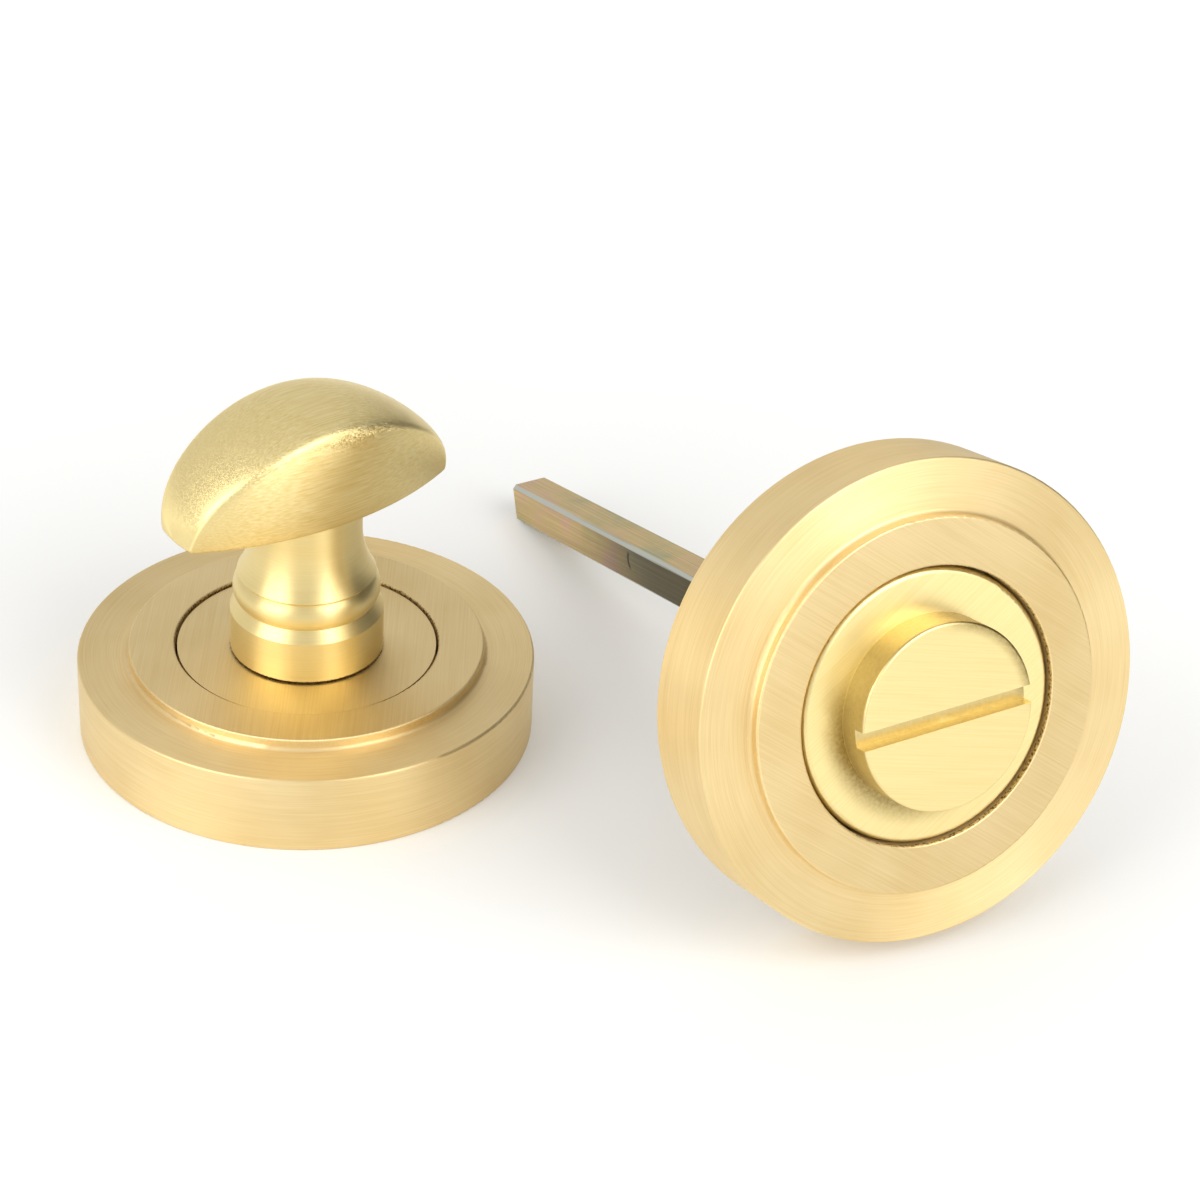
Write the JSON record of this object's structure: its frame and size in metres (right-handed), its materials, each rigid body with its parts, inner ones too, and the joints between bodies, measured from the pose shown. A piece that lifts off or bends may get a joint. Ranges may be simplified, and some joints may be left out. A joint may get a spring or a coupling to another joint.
{
  "type": "bathroom thumb turn lock",
  "caption": "Bathroom privacy set: a domed thumb turn with scooped sides on a stepped round rose, and a slotted coin release on a matching rose with a square spindle.",
  "frame": {"origin": "centre of the thumb rose's back face, where it meets the door; the set lies on the plane z = 0 as pictured", "axes": "+Z along the thumb turn's axis, away from the door; X along the knob's long axis at rest"},
  "size_m": [0.0868, 0.1029, 0.0535],
  "materials": {
    "rose_brass": "satin, turned and brushed",
    "turn_brass": "satin, hand brushed",
    "spindle_steel": "yellow zinc passivated",
    "spring_steel": "oiled",
    "nylon": "natural"
  },
  "bodies": {
    "roses": {"thumb_rose_cover": "rose_brass", "thumb_base_plate": "rose_brass", "thumb_bush": "nylon", "thumb_thrust_washer": "spring_steel", "release_rose_cover": "rose_brass", "release_base_plate": "rose_brass", "release_bush": "nylon", "release_thrust_washer": "spring_steel"},
    "thumb_turn": {"thumb_turn": "turn_brass", "thumb_spring_washer": "spring_steel", "thumb_circlip": "spring_steel"},
    "release_turn": {"release_turn": "turn_brass", "release_spring_washer": "spring_steel", "release_circlip": "spring_steel", "spindle": "spindle_steel", "spindle_grub_screw": "spring_steel"}
  },
  "joints": [
    {"name": "thumb_turn_hinge", "type": "hinge", "parent": "roses", "child": "thumb_turn", "pos_m": [0, 0, 0], "axis": [0, 0, 1], "continuous": true},
    {"name": "release_turn_hinge", "type": "hinge", "parent": "roses", "child": "release_turn", "pos_m": [0.03426, -0.059, 0.02548], "axis": [-0.1783, -0.9472, 0.2665], "continuous": true}
  ]
}
